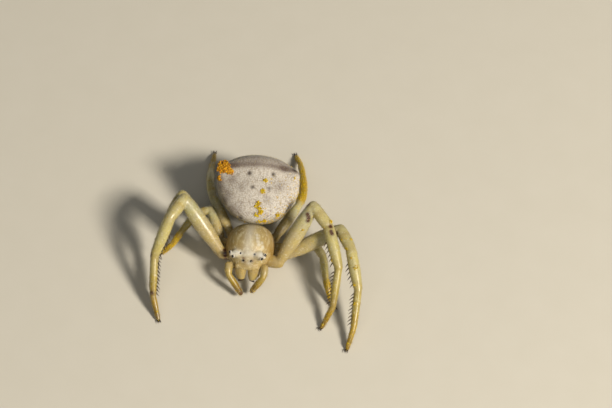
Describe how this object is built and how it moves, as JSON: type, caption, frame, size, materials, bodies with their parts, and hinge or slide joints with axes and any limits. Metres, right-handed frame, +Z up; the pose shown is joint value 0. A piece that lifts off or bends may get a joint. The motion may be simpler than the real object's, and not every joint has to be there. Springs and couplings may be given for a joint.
{
  "type": "crab spider",
  "caption": "Still, life-size model of a white female crab spider standing on its feet, long front legs held forwards, humped abdomen dusted with pollen.",
  "frame": {"origin": "on the floor under the middle of the model's footprint", "axes": "+Z up, -Y the way the head faces, +X the spider's own left"},
  "size_m": [0.0134, 0.0147, 0.0047],
  "materials": {
    "carapace": "cream to tan cuticle of the head and thorax, smooth and faintly glossy, whitish across the eyes",
    "abdomen": "soft warm grey-white cuticle with fine wrinkles, lilac-brown shading and a darker band between the humps, olive-yellow underneath",
    "legs": "translucent glossy cream cuticle, yellower towards the feet, with small red-brown flecks at the knees",
    "mouthparts": "cream cuticle of jaws and palps, amber at the tips",
    "eyes": "small, glossy and nearly black"
  },
  "bodies": {
    "root": {"cephalothorax": "carapace", "abdomen": "abdomen", "spinnerets": "abdomen", "leg_l1_femur": "legs", "leg_l1_tibia": "legs", "leg_l1_foot": "legs", "leg_r1_femur": "legs", "leg_r1_tibia": "legs", "leg_r1_foot": "legs", "leg_l2_femur": "legs", "leg_l2_tibia": "legs", "leg_l2_foot": "legs", "leg_r2_femur": "legs", "leg_r2_tibia": "legs", "leg_r2_foot": "legs", "leg_l3_femur": "legs", "leg_l3_tibia": "legs", "leg_l3_foot": "legs", "leg_r3_femur": "legs", "leg_r3_tibia": "legs", "leg_r3_foot": "legs", "leg_l4_femur": "legs", "leg_l4_tibia": "legs", "leg_l4_foot": "legs", "leg_r4_femur": "legs", "leg_r4_tibia": "legs", "leg_r4_foot": "legs", "chelicera_l": "mouthparts", "palp_l": "mouthparts", "chelicera_r": "mouthparts", "palp_r": "mouthparts", "eye_front_middle_l": "eyes", "eye_rear_middle_l": "eyes", "eye_front_outer_l": "eyes", "eye_rear_outer_l": "eyes", "eye_front_middle_r": "eyes", "eye_rear_middle_r": "eyes", "eye_front_outer_r": "eyes", "eye_rear_outer_r": "eyes"}
  },
  "joints": []
}
